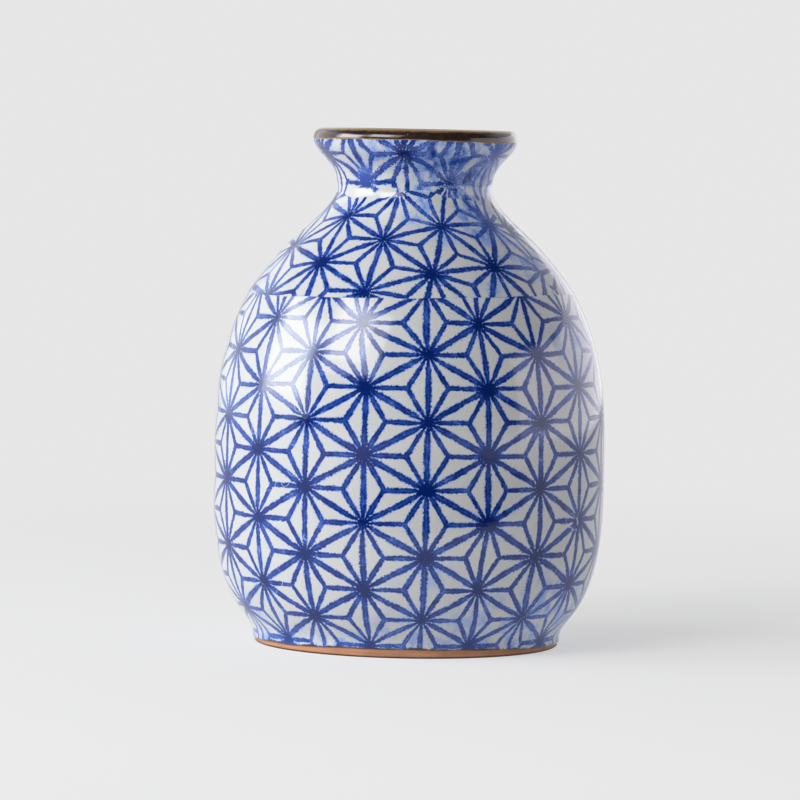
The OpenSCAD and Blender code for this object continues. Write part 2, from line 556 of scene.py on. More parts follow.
def belly_sheet(angle, run, middle):
    """Place in the hemp-leaf pattern on the two sheets round the belly."""
    leaf = bpy.context.scene.leaf_print
    pull_across, pull_up = stretched(angle, run, [
        (-14, 80, 17, 0.16, 0.03), (27, 80, 14, 0.09, 0.03), (62, 80, 15, -0.12, -0.06),
        (-60, 66, 18, 0.0, 0.08), (31, 20, 14, 0.13, 0.0),
        (110, 60, 20, 0.12, -0.05), (-120, 40, 22, -0.1, 0.06), (170, 76, 18, 0.08, 0.1)])
    across = (angle - leaf.first_column) * leaf.columns / math.tau + pull_across
    up = (run - leaf.star_height) / leaf.row_gap * STAR_RISE + pull_up
    centre, half_width = BELLY_BACK_SHEET
    if abs(degrees_from(middle, centre)) < half_width:
        return across + 0.12, up + 0.16 + 0.02 * degrees_from(angle, centre) / half_width
    return across, up


def shoulder_sheet(angle, run, middle):
    """Place in the pattern on the two fan-shaped sheets that wrap the shoulder."""
    fan_turn, fan_reach, fan_run = 0.42, 77 * MM, 98.4 * MM
    column, row = 14.4 * MM, 13.1 * MM
    front_middle, half_width = SHOULDER_FRONT_SHEET
    on_front = abs(degrees_from(middle, front_middle)) < half_width
    centre = -27 if on_front else 148
    turn = math.radians(degrees_from(angle, centre) * fan_turn)
    reach = fan_reach - (run - fan_run)
    across = reach * math.sin(turn) / column - 0.455
    up = 5.58 - reach * math.cos(turn) / row
    return (across, up) if on_front else (across + 0.35, up + 0.4)


def neck_sheet(angle, run, middle):
    """Place in the pattern on the two sheets round the neck."""
    across = degrees_from(angle, -6) / 32
    up = (run - 126.4 * MM) / (13.4 * MM)
    centre, half_width = NECK_BACK_SHEET
    if abs(degrees_from(middle, centre)) < half_width:
        across, up = across + 0.3, up + 0.45
    return across, up


# ---------------------------------------------------------------- shader wiring


class Wires:
    """Adds nodes to one tree. An input takes a number, a colour or another node's output."""

    def __init__(self, tree):
        self.tree = tree

    def add(self, kind, inputs=(), **settings):
        """One node, its settings and its inputs by name or number."""
        made = self.tree.nodes.new(kind)
        for key, value in settings.items():
            setattr(made, key, value)
        for key, value in dict(inputs).items():
            socket = made.inputs[key]
            if isinstance(value, bpy.types.NodeSocket):
                self.tree.links.new(value, socket)
            else:
                socket.default_value = value
        return made

    def math(self, operation, *values):
        """A Math node's result."""
        return self.add("ShaderNodeMath", dict(enumerate(values)), operation=operation).outputs[0]

    def times(self, first, second):
        """Two values multiplied."""
        return self.math("MULTIPLY", first, second)

    def rest(self, value):
        """What a value leaves of 1."""
        return self.math("SUBTRACT", 1.0, value)

    def vector(self, operation, *values):
        """A Vector Math node's vector."""
        return self.add("ShaderNodeVectorMath", dict(enumerate(values)), operation=operation).outputs[0]

    def noise(self, place, scale, detail=2.0, rough=0.5, output="Fac"):
        """A Noise Texture read at a place."""
        return self.add("ShaderNodeTexNoise", {"Vector": place, "Scale": scale, "Detail": detail,
                                               "Roughness": rough}).outputs[output]

    def ramp(self, value, low, high, to_low=0.0, to_high=1.0):
        """A value carried smoothly from the range low..high to another range."""
        return self.add("ShaderNodeMapRange", {"Value": value, 1: low, 2: high, 3: to_low, 4: to_high},
                        interpolation_type="SMOOTHSTEP").outputs[0]

    def blend(self, share, first, second, mode="MIX"):
        """Two colours mixed."""
        return self.add("ShaderNodeMix", {0: share, 6: first, 7: second}, data_type="RGBA",
                        blend_type=mode).outputs[2]

    def attribute(self, name):
        """A number kept at the piece's vertices, or 0 where it keeps none."""
        return self.add("ShaderNodeAttribute", attribute_name=name).outputs["Fac"]

    def group(self, name, make, inputs=()):
        """A node group's outputs. The group is built the first time that it is asked for."""
        tree = bpy.data.node_groups.get(name) or make()
        return self.add("ShaderNodeGroup", inputs, node_tree=tree).outputs


def rgba(colour):
    """A colour with full alpha, as a socket takes it."""
    return (*colour, 1.0)


def new_group(name, inputs, outputs):
    """A shader node group with named sockets, and its wiring with the input node's outputs."""
    kinds = {"VALUE": "NodeSocketFloat", "COLOUR": "NodeSocketColor", "VECTOR": "NodeSocketVector"}
    tree = bpy.data.node_groups.new(name, "ShaderNodeTree")
    for socket, kind, default in inputs:
        made = tree.interface.new_socket(socket, in_out="INPUT", socket_type=kinds[kind])
        if default is not None:
            made.default_value = default
    for socket, kind in outputs:
        tree.interface.new_socket(socket, in_out="OUTPUT", socket_type=kinds[kind])
    wires = Wires(tree)
    return wires, tree.nodes.new("NodeGroupInput").outputs


def close_group(wires, results):
    """Links a group's results to its outputs."""
    wires.add("NodeGroupOutput", results)
    return wires.tree


def hemp_leaf_group():
    """Lines of the hemp-leaf pattern: triangles of stars, with spokes from each star to each middle."""
    wires, given = new_group(
        "Hemp Leaf Lines",
        [("Sheet", "VECTOR", None), ("Place", "VECTOR", None), ("Line Width", "VALUE", 0.07),
         ("Wobble", "VALUE", 0.03), ("Ragged", "VALUE", 0.02), ("Bleed", "VALUE", 0.05)],
        [("Line", "VALUE"), ("Fringe", "VALUE"), ("Star", "VALUE")])
    drift = wires.noise(given["Place"], 130.0, 1.0, output="Color")
    drift = wires.vector("SUBTRACT", drift, (0.5, 0.5, 0.5))
    drift = wires.add("ShaderNodeVectorMath", {0: drift, "Scale": given["Wobble"]},
                      operation="SCALE").outputs[0]
    sheet = wires.add("ShaderNodeSeparateXYZ", {0: wires.vector("ADD", given["Sheet"], drift)}).outputs
    # Distances to the three families of lines through the stars, as shares of a triangle's height
    first = wires.math("FRACT", sheet["X"])
    leaning = wires.math("SUBTRACT", wires.times(sheet["Y"], math.sqrt(3) / 2),
                         wires.times(sheet["X"], 0.5))
    second = wires.math("FRACT", leaning)
    both = wires.math("ADD", first, second)
    far_half = wires.math("GREATER_THAN", both, 1.0)
    third = wires.math("ABSOLUTE", wires.rest(both))
    first = wires.math("ABSOLUTE", wires.math("SUBTRACT", far_half, first))
    second = wires.math("ABSOLUTE", wires.math("SUBTRACT", far_half, second))
    least = wires.math("MINIMUM", wires.math("MINIMUM", first, second), third)
    most = wires.math("MAXIMUM", wires.math("MAXIMUM", first, second), third)
    middle = wires.math("SUBTRACT", wires.rest(least), most)
    spoke = wires.times(wires.math("SUBTRACT", middle, least), SPOKE_THINNING / math.sqrt(3))
    nearest = wires.math("SMOOTH_MIN", least, spoke, 0.03)
    squares = wires.math("ADD", wires.times(least, least), wires.times(middle, middle))
    from_star = wires.math("SQRT", wires.math("MULTIPLY_ADD", least, middle, squares))
    from_star = wires.times(from_star, STAR_RISE)
    # Ragged edges, and lines that swell and thin along their length
    edge = wires.math("SUBTRACT", wires.noise(given["Place"], 2600.0, 2.0, 0.6), 0.5)
    swell = wires.math("SUBTRACT", wires.noise(given["Place"], 240.0, 1.0), 0.5)
    ragged = wires.times(wires.math("MULTIPLY_ADD", swell, 0.5, edge), given["Ragged"])
    distance = wires.math("ADD", nearest, ragged)
    half = wires.times(given["Line Width"], wires.ramp(from_star, 0.07, 0.28, 0.33, 0.5))
    soft = wires.times(given["Line Width"], 0.16)
    line = wires.ramp(distance, wires.math("SUBTRACT", half, soft), wires.math("ADD", half, soft), 1.0, 0.0)
    star = wires.ramp(from_star, 0.05, 0.24, 1.0, 0.0)
    # Ink gathers at both edges of a line and leaves its middle a little paler
    core = wires.ramp(distance, 0.0, wires.times(half, 0.7), 0.2, 0.0)
    core = wires.times(core, wires.rest(star))
    line = wires.times(line, wires.rest(core))
    fringe = wires.ramp(distance, half, wires.math("ADD", half, given["Bleed"]), 1.0, 0.0)
    return close_group(wires, {"Line": line, "Fringe": fringe, "Star": star})


def transfer_ink_group():
    """Strength and colour of the cobalt from its line, fringe, star and wash masks."""
    wires, given = new_group(
        "Transfer Ink",
        [("Line", "VALUE", 0.0), ("Fringe", "VALUE", 0.0), ("Star", "VALUE", 0.0), ("Wash", "VALUE", 0.0),
         ("Bare", "VALUE", 0.0), ("Lap", "VALUE", 10.0), ("Place", "VECTOR", None),
         ("Ground", "COLOUR", None), ("Pale Ink", "COLOUR", None), ("Middle Ink", "COLOUR", None),
         ("Deep Ink", "COLOUR", None)],
        [("Color", "COLOUR"), ("Strength", "VALUE")])
    place = given["Place"]
    mottle = wires.noise(place, 420.0, 3.0, 0.6)
    grit = wires.noise(place, 3400.0, 2.0, 0.7)
    # Full ink lies uneven: cloudy over a few millimetres and grainy close up
    pooled = wires.times(given["Star"], 0.3)
    clouds = wires.math("ADD", wires.math("MULTIPLY_ADD", grit, 0.9, mottle), pooled)
    body = wires.ramp(clouds, 0.55, 1.15, 0.58, 1.0)
    line = wires.times(given["Line"], body)
    line = wires.times(line, wires.rest(wires.times(given["Wash"], 0.4)))
    patchy = wires.ramp(wires.noise(place, 190.0, 3.0, 0.6), 0.42, 0.72)
    grainy = wires.times(given["Fringe"], wires.ramp(grit, 0.3, 0.7, 0.55, 1.0))
    fringe = wires.times(grainy, wires.math("MULTIPLY_ADD", patchy, 0.22, 0.08))
    # Thin washes that fill some of the leaves, streaked as by a wet finger
    streaks = wires.noise(wires.vector("MULTIPLY", place, (1.0, 1.0, 0.55)), 330.0, 5.0, 0.62)
    smear = wires.times(wires.ramp(streaks, 0.36, 0.66), given["Wash"])
    # A fine blue line caught along the edge of each sheet
    caught = wires.ramp(wires.math("MULTIPLY_ADD", wires.noise(place, 900.0, 3.0, 0.7), 0.9, given["Lap"]),
                        0.35, 0.75, 1.0, 0.0)
    caught = wires.times(caught, wires.ramp(wires.noise(place, 120.0, 2.0), 0.45, 0.62, 0.0, 0.45))
    strength = wires.math("MAXIMUM", wires.math("MAXIMUM", line, fringe),
                          wires.math("MAXIMUM", smear, caught))
    # Hairline scratches and wrinkles of the sheet, where ink never reached the clay
    crease = wires.math("ABSOLUTE", wires.math("SUBTRACT", wires.noise(place, 75.0, 2.0, 0.5), 0.5))
    crease = wires.ramp(crease, 0.001, 0.0035, 1.0, 0.0)
    crease = wires.times(crease, wires.ramp(wires.noise(place, 48.0, 1.0), 0.60, 0.66))
    strength = wires.times(strength, wires.rest(wires.times(crease, 0.75)))
    # Stretches that the sheet missed, with a ragged border
    missed = wires.math("MULTIPLY_ADD", wires.noise(place, 500.0, 4.0, 0.65), 0.7, given["Bare"])
    missed = wires.ramp(missed, 0.6, 0.85)
    strength = wires.times(strength, wires.rest(missed))
    ground = wires.blend(wires.ramp(grit, 0.3, 0.75), given["Ground"],
                         wires.blend(1.0, given["Ground"], (0.88, 0.885, 0.895, 1.0), "MULTIPLY"))
    thin = wires.blend(wires.ramp(strength, 0.0, 0.32), ground, given["Pale Ink"])
    mid = wires.blend(wires.ramp(strength, 0.25, 0.68), thin, given["Middle Ink"])
    deep = wires.blend(wires.ramp(strength, 0.58, 0.97), mid, given["Deep Ink"])
    return close_group(wires, {"Color": deep, "Strength": strength})


def glaze_skin_group():
    """Height and roughness of fired glaze: slow waves, orange peel and the odd pinhole."""
    wires, given = new_group(
        "Glaze Skin",
        [("Place", "VECTOR", None)],
        [("Height", "VALUE"), ("Roughness", "VALUE"), ("Pinhole", "VALUE")])
    place = given["Place"]
    wave = wires.noise(place, 42.0, 2.0, 0.4)
    peel = wires.noise(place, 1300.0, 2.0, 0.6)
    spots = wires.add("ShaderNodeTexVoronoi", {"Vector": place, "Scale": 110.0, "Randomness": 1.0})
    few = wires.ramp(spots.outputs["Color"], 0.45, 0.47)
    hole = wires.times(wires.ramp(spots.outputs["Distance"], 0.016, 0.032, 1.0, 0.0), few)
    height = wires.math("ADD", wires.times(wave, 0.20 * MM), wires.times(peel, 0.009 * MM))
    height = wires.math("SUBTRACT", height, wires.times(hole, 0.08 * MM))
    rough = wires.ramp(wires.noise(place, 260.0, 3.0), 0.35, 0.7, 0.035, 0.075)
    return close_group(wires, {"Height": height, "Roughness": wires.math("MULTIPLY_ADD", hole, 0.3, rough),
                               "Pinhole": hole})


def new_material(name):
    """A node material's wiring and its surface shader."""
    material = bpy.data.materials.new(name)
    material.use_nodes = True
    tree = material.node_tree
    shader = next(node for node in tree.nodes if node.type == "BSDF_PRINCIPLED")
    return material, Wires(tree), shader


def set_glaze(shader, under_roughness):
    """Plain numbers of a clear glaze coat over a matt underbody."""
    shader.inputs["Coat Weight"].default_value = 1.0
    shader.inputs["Coat IOR"].default_value = 1.52
    shader.inputs["Coat Roughness"].default_value = 0.05
    shader.inputs["Specular IOR Level"].default_value = 0.0
    shader.inputs["Roughness"].default_value = under_roughness


def plug(wires, shader, **links):
    """Links results to the shader's sockets, named with _ for a space."""
    for socket, value in links.items():
        wires.tree.links.new(value, shader.inputs[socket.replace("_", " ")])


def bump(wires, height):
    """A normal from a height in metres."""
    return wires.add("ShaderNodeBump", {"Height": height, "Strength": 1.0, "Distance": 1.0}).outputs[0]


def printed_glaze(name, line_width, wobble, ragged, bleed, wash):
    """Clear glaze over the hemp-leaf transfer, for one band of the pot."""
    leaf = bpy.context.scene.leaf_print
    plain = bpy.context.scene.clay_and_glazes
    material, wires, shader = new_material(name)
    place = wires.add("ShaderNodeTexCoord").outputs["Object"]
    sheet = wires.add("ShaderNodeUVMap", uv_map="Sheet").outputs[0]
    lines = wires.group("Hemp Leaf Lines", hemp_leaf_group, {
        "Sheet": sheet, "Place": place, "Line Width": line_width, "Wobble": wobble, "Ragged": ragged,
        "Bleed": bleed})
    ink = wires.group("Transfer Ink", transfer_ink_group, {
        "Line": lines["Line"], "Fringe": lines["Fringe"], "Star": lines["Star"],
        "Wash": wires.times(wires.attribute("Wash"), wash), "Bare": wires.attribute("Bare"),
        "Lap": wires.attribute("Lap"), "Place": place, "Ground": rgba(leaf.ground),
        "Pale Ink": rgba(leaf.pale_ink), "Middle Ink": rgba(leaf.mid_ink), "Deep Ink": rgba(leaf.deep_ink)})
    skin = wires.group("Glaze Skin", glaze_skin_group, {"Place": place})
    # Cobalt pools nearly black along stretches of the wiped edge
    pooled = wires.math("MULTIPLY_ADD", wires.noise(place, 700.0, 4.0, 0.7), 1.1, wires.attribute("Pooled"))
    pooled = wires.ramp(pooled, 0.85, 1.15)
    # Brown lip glaze runs a hair down over the print
    brown = wires.math("MULTIPLY_ADD", wires.noise(place, 1100.0, 3.0), 0.9, wires.attribute("Brown"))
    colour = wires.blend(wires.ramp(brown, 1.15, 1.3), ink["Color"], rgba(plain.amber))
    colour = wires.blend(pooled, colour, rgba(leaf.pooled_ink))
    colour = wires.blend(skin["Pinhole"], colour, rgba(plain.toasted_clay_and_shadow))
    set_glaze(shader, 0.5)
    relief = wires.times(ink["Strength"], -0.010 * MM)
    height = wires.math("ADD", skin["Height"], relief)
    normal = bump(wires, height)
    plug(wires, shader, Base_Color=colour, Normal=normal, Coat_Normal=normal)
    return material


# ---------------------------------------------------------------- materials of the single pieces


def bare_clay():
    """Unglazed clay of the foot: fine turning lines, grit, and a painted contact shadow along its bottom
    edge.
    """
    plain = bpy.context.scene.clay_and_glazes
    material, wires, shader = new_material("bare_clay")
    place = wires.add("ShaderNodeTexCoord").outputs["Object"]
    height_above = wires.add("ShaderNodeSeparateXYZ", {0: place}).outputs["Z"]
    cloud = wires.noise(place, 150.0, 4.0, 0.6)
    grit = wires.noise(place, 3200.0, 3.0, 0.7)
    turning = wires.noise(wires.vector("MULTIPLY", place, (60.0, 60.0, 5200.0)), 1.0, 2.0)
    colour = wires.blend(wires.ramp(cloud, 0.38, 0.68), rgba(plain.clay),
                         rgba([0.82 * part for part in plain.clay]))
    colour = wires.blend(wires.ramp(grit, 0.56, 0.72, 0.0, 0.45), colour, (0.58, 0.34, 0.21, 1.0))
    colour = wires.blend(wires.ramp(turning, 0.35, 0.7, 0.0, 0.45), colour, rgba(plain.toasted_clay_and_shadow))
    # Painted contact shadow: the foot's lowest 0.6 mm, its flat bottom face included, darkens to about a
    # third of the toasted clay colour
    under = wires.ramp(height_above, 0.2 * MM, 0.62 * MM, 1.0, 0.0)
    colour = wires.blend(under, colour, rgba([0.35 * part for part in plain.toasted_clay_and_shadow]))
    height = wires.math("MULTIPLY_ADD", grit, 0.04 * MM, wires.times(turning, 0.05 * MM))
    shader.inputs["Roughness"].default_value = 0.85
    shader.inputs["Specular IOR Level"].default_value = 0.25
    plug(wires, shader, Base_Color=colour, Normal=bump(wires, height))
    return material


def brown_glaze(shape):
    """Iron-brown lip glaze, dark where it lies thick and amber where it breaks over an edge."""
    plain = bpy.context.scene.clay_and_glazes
    material, wires, shader = new_material("brown_glaze")
    place = wires.add("ShaderNodeTexCoord").outputs["Object"]
    up = wires.add("ShaderNodeSeparateXYZ", {0: place}).outputs["Z"]
    fired = wires.group("Glaze Skin", glaze_skin_group, {"Place": place})
    streak = wires.noise(wires.vector("MULTIPLY", place, (1.0, 1.0, 0.2)), 420.0, 4.0, 0.6)
    wander = wires.times(wires.math("SUBTRACT", streak, 0.5), 0.9 * MM)
    level = wires.math("ADD", up, wander)
    over_top = wires.ramp(level, shape.height - 0.75 * MM, shape.height - 0.15 * MM)
    at_edge = wires.ramp(level, top_of("neck_glaze"), top_of("neck_glaze") + 0.24 * MM, 0.55, 0.0)
    thin = wires.math("MAXIMUM", wires.times(over_top, 0.95), at_edge)
    mottle = wires.ramp(wires.noise(place, 800.0, 3.0), 0.4, 0.75, 0.0, 0.07)
    colour = wires.blend(wires.math("MAXIMUM", thin, mottle), rgba(plain.iron_brown), rgba(plain.amber))
    set_glaze(shader, 0.35)
    shader.inputs["Coat Roughness"].default_value = 0.12
    normal = bump(wires, fired["Height"])
    plug(wires, shader, Base_Color=colour, Normal=normal, Coat_Normal=normal)
    return material


def white_glaze(name, streak_scale):
    """Clear glaze on the bare body, with faint turning rings, grey clouds and iron specks."""
    plain = bpy.context.scene.clay_and_glazes
    material, wires, shader = new_material(name)
    place = wires.add("ShaderNodeTexCoord").outputs["Object"]
    fired = wires.group("Glaze Skin", glaze_skin_group, {"Place": place})
    cloud = wires.noise(place, 70.0, 4.0, 0.6)
    rings = wires.noise(wires.vector("MULTIPLY", place, (0.12, 0.12, 1.0)), streak_scale, 2.0)
    colour = wires.blend(wires.ramp(cloud, 0.35, 0.7), rgba(plain.lining),
                         rgba([0.86 * part for part in plain.lining]))
    colour = wires.blend(wires.ramp(rings, 0.45, 0.7, 0.0, 0.25), colour,
                         rgba([0.72 * part for part in plain.lining]))
    colour = wires.blend(fired["Pinhole"], colour, rgba(plain.toasted_clay_and_shadow))
    height = wires.math("MULTIPLY_ADD", rings, 0.12 * MM, fired["Height"])
    set_glaze(shader, 0.45)
    normal = bump(wires, height)
    plug(wires, shader, Base_Color=colour, Normal=normal, Coat_Normal=normal)
    return material


# ---------------------------------------------------------------- operators


def lap_distance(edges):
    """Millimetres along the skin to the nearest edge of a sheet."""
    def distance(angle, run):
        return min(abs(run - at - edge(angle)) for at, edge in edges) / MM
    return distance


def wash_from(smudges, hem=0.0):
    """Strength of the thin blue wash: (degrees round, run in mm, reach in mm, strength) for each smudge.

    The hem is the strength of an even wash along the lowest millimetres of the sheet.
    """
    def wash(angle, run):
        total = hem * max(0.0, 1 - run / HEM_RISE)
        for centre, centre_run, reach, strength in smudges:
            round_mm = math.radians(degrees_from(angle, centre)) * WASH_RADIUS
            away = (round_mm ** 2 + (run / MM - centre_run) ** 2) / reach ** 2
            if away < 1:
                total = max(total, strength * (1 - away) ** 2)
        return total
    return wash


def pooled_at(edge, stretches):
    """Strength of the dark pools just above the wiped edge: (degrees round, reach in degrees) for each."""
    def pooled(angle, run):
        rise = (run - edge - wiped_edge(angle)) / POOL_RISE
        if rise > 1:
            return 0.0
        thick = max(bump_at(angle, centre, reach) for centre, reach in stretches)
        return (1 - rise) * max(thick, EVEN_POOL)
    return pooled


def missed_beside(lap_run, lap, height, stretches):
    """Strength of the unprinted band along a lap: (degrees round, reach in degrees) for each stretch."""
    def missed(angle, run):
        away = (run - lap_run - lap(angle)) / height
        if away * away > 1:
            return 0.0
        return (1 - away * away) * max(bump_at(angle, centre, reach) for centre, reach in stretches)
    return missed


class PieceOperator:
    """What every operator of a piece shares."""
    bl_options = {"REGISTER", "UNDO"}

    def coat(self, context, name, start, end, edges, rolled=False):
        """A closed shell of glaze between two runs of the skin, its edges wandering by hand."""
        shape = context.scene.pot_shape
        skin = Skin(shape)
        ridge = skin.run_at(top_of("body_glaze"))
        outer = [(run, -RIDGE_HEIGHT * math.exp(-abs(run - ridge) / RIDGE_REACH))
                 for run in stations(start, end)]
        if rolled:
            above = [place for place in outer if place[0] > start + WIPED_ROLL[-1][0] + RING_GAP / 2]
            outer = [(start + rise, depth) for rise, depth in WIPED_ROLL] + above
        inner = [(run, shape.glaze) for run in stations(end, start)]
        places = outer + inner
        section = [skin.at(*place) for place in places]
        piece = turn_on_wheel(name, section, closed=True)
        lay_on_skin(piece, skin, places, fading_wander(edges))
        return piece


class POTTERY_OT_clay_body(PieceOperator, bpy.types.Operator):
    """Turn the clay body: foot ring, walls, lip and floor"""
    bl_idname = "pottery.clay_body"
    bl_label = "Clay Body"

    def execute(self, context):
        shape = context.scene.pot_shape
        skin = Skin(shape)
        ring_radius = shape.foot_radius - shape.glaze
        soft = 0.55 * MM
        corner = [math.radians(90 * i / 6) for i in range(7)]
        inner, outer = shape.ring_inside + soft, ring_radius - soft
        inner_corner = [Vector((inner - soft * math.sin(turn), soft - soft * math.cos(turn)))
                        for turn in reversed(corner)]
        outer_corner = [Vector((outer + soft * math.sin(turn), soft - soft * math.cos(turn)))
                        for turn in corner]
        ceiling = [Vector((0, shape.recess)), Vector((shape.ring_inside - 1.2 * MM, shape.recess)),
                   Vector((shape.ring_inside - 0.35 * MM, shape.recess - 0.35 * MM)),
                   Vector((shape.ring_inside, shape.recess - 1.2 * MM))]
        wall = [skin.at(run, shape.glaze) for run in stations(1.2 * MM, skin.end_run, LINING_GAP)]
        piece = turn_on_wheel("clay_body", ceiling + inner_corner + outer_corner + wall[1:], closed=False)
        finish_piece(piece, bare_clay(), "clay_body")
        return {"FINISHED"}


class POTTERY_OT_body_glaze(PieceOperator, bpy.types.Operator):
    """Lay the printed glaze on the belly, from the wiped foot edge to the shoulder lap"""
    bl_idname = "pottery.body_glaze"
    bl_label = "Body Glaze"

    def execute(self, context):
        leaf = context.scene.leaf_print
        skin = Skin(context.scene.pot_shape)
        start, end = skin.run_at(low_of("body_glaze")), skin.run_at(top_of("body_glaze"))
        edges = [(start, wiped_edge, 6 * MM), (end, body_lap, SEAM_REACH)]
        piece = self.coat(context, "body_glaze", start, end, edges, rolled=True)
        write_sheet_map(piece, belly_sheet)
        write_mask(piece, "Lap", lap_distance([(end, body_lap)]))
        write_mask(piece, "Wash", wash_from([
            (2, 6, 13, 0.32), (28, 9, 14, 0.3), (52, 12, 16, 0.42), (70, 8, 14, 0.4), (-62, 10, 12, 0.25),
            (5, 22, 9, 0.22), (-72, 60, 11, 0.2), (62, 74, 12, 0.28), (120, 30, 22, 0.3), (-130, 62, 18, 0.3),
            (175, 12, 20, 0.4)], hem=0.55))
        write_mask(piece, "Pooled", pooled_at(start, [
            (-58, 12), (-38, 8), (-26, 6), (-12, 7), (4, 9), (27, 8), (44, 6), (56, 7), (70, 8), (100, 12),
            (150, 16), (-150, 14), (-100, 12)]))
        glaze = printed_glaze("body_print", leaf.line_width,
                              wobble=0.03, ragged=0.09, bleed=0.035, wash=1.0)
        finish_piece(piece, glaze, "body_glaze")
        return {"FINISHED"}


class POTTERY_OT_shoulder_glaze(PieceOperator, bpy.types.Operator):
    """Lay the printed glaze on the shoulder, between its two laps"""
    bl_idname = "pottery.shoulder_glaze"
    bl_label = "Shoulder Glaze"

    def execute(self, context):
        leaf = context.scene.leaf_print
        skin = Skin(context.scene.pot_shape)
        start, end = skin.run_at(low_of("shoulder_glaze")), skin.run_at(top_of("shoulder_glaze"))
        edges = [(start, body_lap, SEAM_REACH), (end, neck_lap, SEAM_REACH)]
        piece = self.coat(context, "shoulder_glaze", start, end, edges)
        write_sheet_map(piece, shoulder_sheet)
        write_mask(piece, "Lap", lap_distance([(start, body_lap), (end, neck_lap)]))
        write_mask(piece, "Wash", wash_from([
            (4, 112, 9, 0.6), (18, 104, 7, 0.35), (42, 109, 13, 0.7), (54, 97, 11, 0.55), (30, 88, 8, 0.3),
            (-50, 112, 8, 0.25), (-75, 90, 10, 0.25), (120, 100, 16, 0.45), (-140, 96, 16, 0.4)]))
        write_mask(piece, "Bare", missed_beside(end, neck_lap, 1.0 * MM, MISSED_STRETCHES))
        glaze = printed_glaze("shoulder_print", leaf.line_width,
                              wobble=0.05, ragged=0.10, bleed=0.04, wash=1.0)
        finish_piece(piece, glaze, "shoulder_glaze")
        return {"FINISHED"}


class POTTERY_OT_neck_glaze(PieceOperator, bpy.types.Operator):
    """Lay the printed glaze on the neck, up to the brown lip"""
    bl_idname = "pottery.neck_glaze"
    bl_label = "Neck Glaze"

    def execute(self, context):
        leaf = context.scene.leaf_print
        skin = Skin(context.scene.pot_shape)
        start, end = skin.run_at(low_of("neck_glaze")), skin.run_at(top_of("neck_glaze"))
        edges = [(start, neck_lap, SEAM_REACH), (end, rim_edge, 4 * MM)]
        piece = self.coat(context, "neck_glaze", start, end, edges)
        write_sheet_map(piece, neck_sheet)
        write_mask(piece, "Lap", lap_distance([(start, neck_lap)]))
        write_mask(piece, "Wash", wash_from([
            (10, 127, 10, 0.55), (30, 124, 12, 0.5), (-20, 127, 8, 0.35), (56, 125, 13, 0.55),
            (38, 118, 12, 0.7), (8, 119, 8, 0.55), (72, 119, 10, 0.5), (-38, 120, 6, 0.5),
            (150, 122, 12, 0.5), (-120, 124, 12, 0.4)]))
        write_mask(piece, "Bare", missed_beside(start, neck_lap, 2.1 * MM, MISSED_STRETCHES))
        write_mask(piece, "Brown",
                   lambda angle, run: max(0.0, 1 - (end + rim_edge(angle) - run) / BROWN_REACH))
        glaze = printed_glaze("neck_print", leaf.line_width * 1.15,
                              wobble=0.14, ragged=0.15, bleed=0.12, wash=1.5)
        finish_piece(piece, glaze, "neck_glaze")
        return {"FINISHED"}


class POTTERY_OT_rim_glaze(PieceOperator, bpy.types.Operator):
    """Lay the brown glaze over the lip"""
    bl_idname = "pottery.rim_glaze"
    bl_label = "Rim Glaze"

    def execute(self, context):
        shape = context.scene.pot_shape
        skin = Skin(shape)
        start, end = skin.run_at(low_of("rim_glaze")), skin.run_at(low_of("rim_glaze"), inside=True)
        places = [(run, 0.0) for run in stations(start, end, 0.3 * MM)]
        places += [(run, shape.glaze) for run in stations(end, start, 0.5 * MM)]
        piece = turn_on_wheel("rim_glaze", [skin.at(*place) for place in places], closed=True)
        reach = 1.5 * MM
        lay_on_skin(piece, skin, places, fading_wander([(start, rim_edge, reach), (end, rim_edge, reach)]))
        finish_piece(piece, brown_glaze(shape), "rim_glaze")
        return {"FINISHED"}


class POTTERY_OT_inner_glaze(PieceOperator, bpy.types.Operator):
    """Line the cavity with clear glaze, from the brown lip down to the floor"""
    bl_idname = "pottery.inner_glaze"
    bl_label = "Inner Glaze"

    def execute(self, context):
        shape = context.scene.pot_shape
        skin = Skin(shape)
        start = skin.run_at(low_of("rim_glaze"), inside=True)
        runs = stations(start, skin.end_run, LINING_GAP)
        places = [(run, 0.0) for run in reversed(runs)] + [(run, shape.glaze) for run in runs]
        piece = turn_on_wheel("inner_glaze", [skin.at(*place) for place in places], closed=False)
        lay_on_skin(piece, skin, places, fading_wander([(start, rim_edge, 3 * MM)]))
        finish_piece(piece, white_glaze("lining_glaze", 260.0), "inner_glaze")
        return {"FINISHED"}


class POTTERY_OT_base_glaze(PieceOperator, bpy.types.Operator):
    """Glaze the recess under the foot"""
    bl_idname = "pottery.base_glaze"
    bl_label = "Base Glaze"

    def execute(self, context):
        shape = context.scene.pot_shape
        ring, top, coat = shape.ring_inside, shape.recess, shape.glaze
        edge = low_of("base_glaze")
        upper = [(0, top), (ring - 1.2 * MM, top), (ring - 0.35 * MM, top - 0.35 * MM),
                 (ring, top - 1.2 * MM)]
        lower = [(ring - 0.02 * MM, edge), (ring - 0.3 * MM, edge + 0.12 * MM),
                 (ring - coat, edge + 0.35 * MM), (ring - 0.8 * MM, top - 0.8 * MM),
                 (ring - 1.5 * MM, top - coat), (ring - 6 * MM, top - coat + 0.05 * MM), (0, top - coat)]
        section = [Vector(point) for point in upper + lower]
        piece = turn_on_wheel("base_glaze", section, closed=False)
        finish_piece(piece, white_glaze("foot_glaze", 90.0), "base_glaze")
        return {"FINISHED"}


